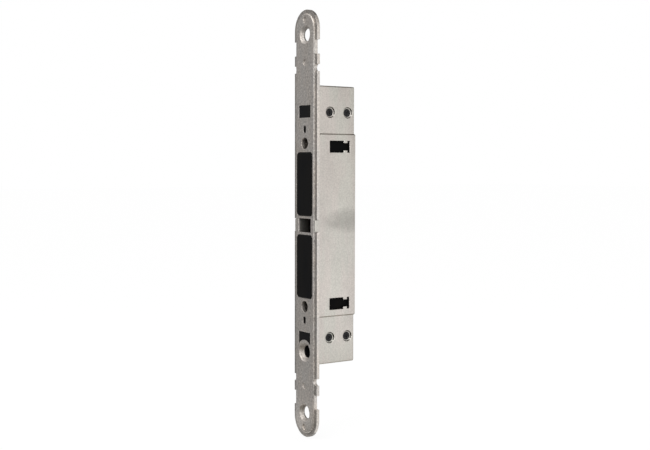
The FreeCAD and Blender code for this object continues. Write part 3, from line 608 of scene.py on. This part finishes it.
# The pressed seat round each side screw: distance from the screw's axis, and height over the sheet.
SEAT_PROFILE = (
    (2.24 * MM, -0.80 * MM),
    (2.62 * MM, -0.74 * MM),
    (2.72 * MM, -0.66 * MM),
    (3.06 * MM, -0.06 * MM),
    (3.11 * MM, 0.004 * MM),
    (3.22 * MM, -0.02 * MM),
    (3.40 * MM, -0.30 * MM),
    (2.95 * MM, -1.00 * MM),
    (2.24 * MM, -1.00 * MM),
)
SEAT_STEPS = 72


def seat_mesh(sheet, setback, height):
    """One seat: the profile turned round the screw's axis. sheet is the side's outer face."""
    turns = [2 * math.pi * step / SEAT_STEPS for step in range(SEAT_STEPS)]
    points = [
        (sheet + over, setback + reach * math.cos(turn), height + reach * math.sin(turn))
        for reach, over in SEAT_PROFILE for turn in turns
    ]
    faces = []
    for ring in range(len(SEAT_PROFILE)):
        faces += band_faces(ring, (ring + 1) % len(SEAT_PROFILE), SEAT_STEPS)
    mesh = bpy.data.meshes.new("seat")
    mesh.from_pydata(points, [], faces)
    return mesh


def add_pressed_seats(end):
    """The stepped walls that the press leaves round the heads of the two side screws."""
    place = side_screw_places(end)
    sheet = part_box("case")[1][0]
    meshes = [seat_mesh(sheet, setback, place["height"]) for setback in place["setbacks"]]
    piece = new_piece(f"case_seats_{end}", meshes, SEAT_METAL_PAINTED_SHADE)
    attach(piece, "latch_frame")


ADJUSTER = {
    "head": 3.0 * MM,
    "head_rounding": 0.15 * MM,
    "collar_gap": 0.1 * MM,
    "collar_thick": 0.9 * MM,
    "shank": 2.49 * MM,
    "neck": 3.5 * MM,
    "tip_chamfer": 0.6 * MM,
    "thread_depth": 0.42 * MM,
    "pitch": 0.8 * MM,
    "turn": 0.95,
}
ADJUSTER_CROSS = {"arm": 1.8 * MM, "blade": 0.42 * MM, "depth": 1.2 * MM}


def add_adjusting_screw(end):
    """Captive screw with its cross recess and thread, in the place of the plain solid."""
    low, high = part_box(f"adjusting_screw_{end}")
    height = (low[2] + high[2]) / 2
    collar = (high[2] - low[2]) / 2
    face, tip = low[1], high[1]
    screw, shank = ADJUSTER, ADJUSTER["shank"]
    collar_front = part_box("back_plate")[1][1] + screw["collar_gap"]
    collar_rear = collar_front + screw["collar_thick"]

    def frame_of(along, across, up):
        side, rise = turned_by(screw["turn"], across, up)
        return side, along, height + rise

    rings = screw_head_rings(
        face, collar_front - face, screw["head"], screw["head_rounding"], ADJUSTER_CROSS, 1
    )
    rings += [(collar_front, collar), (collar_rear, collar), (collar_rear, shank)]
    thread_start, thread_end = collar_rear + screw["neck"], tip - screw["tip_chamfer"]
    rings += thread_rings(thread_start, thread_end, shank, screw["thread_depth"], screw["pitch"])
    rings.append((tip, shank - screw["tip_chamfer"]))
    mesh = turned_mesh("adjusting_screw", rings, cross_angles(ADJUSTER_CROSS), frame_of)
    piece = new_piece(f"adjusting_screw_threaded_{end}", [mesh], ZINC_PAINTED_SHADE)
    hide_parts(f"adjusting_screw_{end}")
    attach(piece, f"{end}_screw")


for add_pieces in (add_side_screws, add_pressed_seats, add_adjusting_screw):
    for end in ENDS:
        add_pieces(end)


# Stage: floor, cards, light and camera

UP = (0.0, 0.0, 1.0)
FLOOR_SIZE = 12.0
FLOOR_WHITE = 0.9
FLOOR_HEIGHT = CAD_BOX[0].z - 0.5 * MM
CARD_HEIGHT = FLOOR_HEIGHT + 0.3 * MM
FOOT_CARD_HEIGHT = CARD_HEIGHT + 0.1 * MM

# Name, centre, facing, width, height and brightness. Only reflections see these cards.
CARDS = (
    ("card_front_left", (-0.75, -0.52, 0.25), (0.82, 0.57, 0.0), 1.5, 0.9, (0.405, 0.405, 0.405)),
    ("card_floor_front", (-0.25, -0.62, CARD_HEIGHT), UP, 1.5, 1.18, (0.38, 0.38, 0.38)),
    ("card_floor_foot", (0.07, -0.162, FOOT_CARD_HEIGHT), UP, 0.16, 0.32, (0.10, 0.09, 0.06)),
    ("card_floor_rear", (-0.08, 0.15, CARD_HEIGHT), UP, 0.34, 0.24, (0.50, 0.48, 0.44)),
    ("card_side_rear", (0.065, 0.09, 0.06), (-0.3, -1.0, 0.0), 0.07, 0.11, (0.73, 0.72, 0.70)),
    ("card_front_right", (0.66, -0.95, 0.1), (-0.57, 0.82, 0.0), 0.8, 1.2, (0.50, 0.49, 0.47)),
    ("card_rear_top", (0.0, 0.6, 0.7), (0.0, -0.6, -0.7), 1.6, 1.1, (0.06, 0.05, 0.035)),
)
# Name, centre, width, height and watts. Each light faces the origin.
SOFT_LIGHTS = (
    ("key_front_right", (0.32, -0.55, 0.80), 0.5, 0.4, 2.4),
    ("fill_right", (0.95, -0.35, 0.12), 0.4, 0.5, 5.0),
)

CAMERA_PLACE = (503.13 * MM, -334.46 * MM, 33.39 * MM)
CAMERA_AZIMUTH = math.radians(55.32)
CAMERA_ELEVATION = math.radians(3.14)
CAMERA_ROLL = math.radians(0.118)
CAMERA_LENS, CAMERA_SENSOR = 61.01, 36.0
CAMERA_NEAR, CAMERA_FAR = 0.01, 50.0


def stage_plane(name, centre, facing, width, height, material):
    """A flat plane that faces along a direction."""
    x, y = width / 2, height / 2
    mesh = bpy.data.meshes.new(name)
    mesh.from_pydata([(-x, -y, 0), (x, -y, 0), (x, y, 0), (-x, y, 0)], [], [(0, 1, 2, 3)])
    mesh.materials.append(material)
    plane = bpy.data.objects.new(name, mesh)
    plane.rotation_mode = "QUATERNION"
    plane.rotation_quaternion = Vector(facing).to_track_quat("Z", "Y")
    plane.location = centre
    bpy.context.scene.collection.objects.link(plane)
    return plane


def floor_material():
    """Pale floor: white to the camera and in reflections, with a part of its real shading."""
    material, tree, shader = new_material("pale_floor")
    shader.inputs["Base Color"].default_value = colour(0.95, 0.95, 0.95)
    shader.inputs["Roughness"].default_value = 0.9
    shader.inputs["Specular IOR Level"].default_value = 0.1
    white = tree.add("ShaderNodeEmission", {"Color": colour(1, 1, 1), "Strength": 1.0})
    path = tree.add("ShaderNodeLightPath")
    seen = tree.math("ADD", path.outputs["Is Camera Ray"], path.outputs["Is Glossy Ray"])
    seen = tree.math("ADD", seen, path.outputs["Is Transmission Ray"])
    share = tree.product(tree.math("MINIMUM", seen, 1.0), FLOOR_WHITE)
    layers = {0: share, 1: shader.outputs["BSDF"], 2: white.outputs["Emission"]}
    tree.set_surface(tree.add("ShaderNodeMixShader", layers).outputs["Shader"])
    return material


def card_material(name, shade):
    """A studio card of one even brightness."""
    material, tree, shader = new_material(name)
    light = tree.add("ShaderNodeEmission", {"Color": colour(*shade), "Strength": 1.0})
    tree.set_surface(light.outputs["Emission"])
    tree.tree.nodes.remove(shader)
    return material


def add_card(name, centre, facing, width, height, shade):
    """A studio card that only reflections see, as photographers flag a shiny object."""
    card = stage_plane(name, centre, facing, width, height, card_material(name, shade))
    for ray in ("camera", "diffuse", "shadow", "transmission", "volume_scatter"):
        setattr(card, f"visible_{ray}", False)


def add_soft_light(name, centre, width, height, watts):
    """A rectangular light that faces the origin."""
    data = bpy.data.lights.new(name, "AREA")
    data.shape = "RECTANGLE"
    data.size = width
    data.size_y = height
    data.energy = watts
    light = bpy.data.objects.new(name, data)
    light.location = centre
    light.rotation_mode = "QUATERNION"
    light.rotation_quaternion = Vector(centre).to_track_quat("Z", "Y")
    bpy.context.scene.collection.objects.link(light)


def add_white_sky():
    world = bpy.data.worlds.new("studio")
    bpy.context.scene.world = world
    world.use_nodes = True
    sky = Tree(world.node_tree)
    white = sky.add("ShaderNodeBackground", {"Color": colour(1, 1, 1), "Strength": 1.0})
    sky.add("ShaderNodeOutputWorld", {"Surface": white.outputs["Background"]})


def add_camera():
    """The camera at the photo's angle, level but for a slight roll."""
    data = bpy.data.cameras.new("camera")
    data.lens = CAMERA_LENS
    data.sensor_width = CAMERA_SENSOR
    data.clip_start = CAMERA_NEAR
    data.clip_end = CAMERA_FAR
    camera = bpy.data.objects.new("camera", data)
    bpy.context.scene.collection.objects.link(camera)
    side, front = math.sin(CAMERA_AZIMUTH), math.cos(CAMERA_AZIMUTH)
    level = math.cos(CAMERA_ELEVATION)
    back = Vector((side * level, -front * level, math.sin(CAMERA_ELEVATION)))
    right = Vector((front, side, 0))
    turn = Matrix((right, back.cross(right), back)).transposed()
    turn = turn @ Matrix.Rotation(CAMERA_ROLL, 3, "Z")
    camera.matrix_world = Matrix.Translation(CAMERA_PLACE) @ turn.to_4x4()
    bpy.context.scene.camera = camera


stage_plane("floor", (0, 0, FLOOR_HEIGHT), UP, FLOOR_SIZE, FLOOR_SIZE, floor_material())
for card in CARDS:
    add_card(*card)
for soft_light in SOFT_LIGHTS:
    add_soft_light(*soft_light)
add_white_sky()
add_camera()
bpy.context.scene.view_settings.view_transform = "Standard"
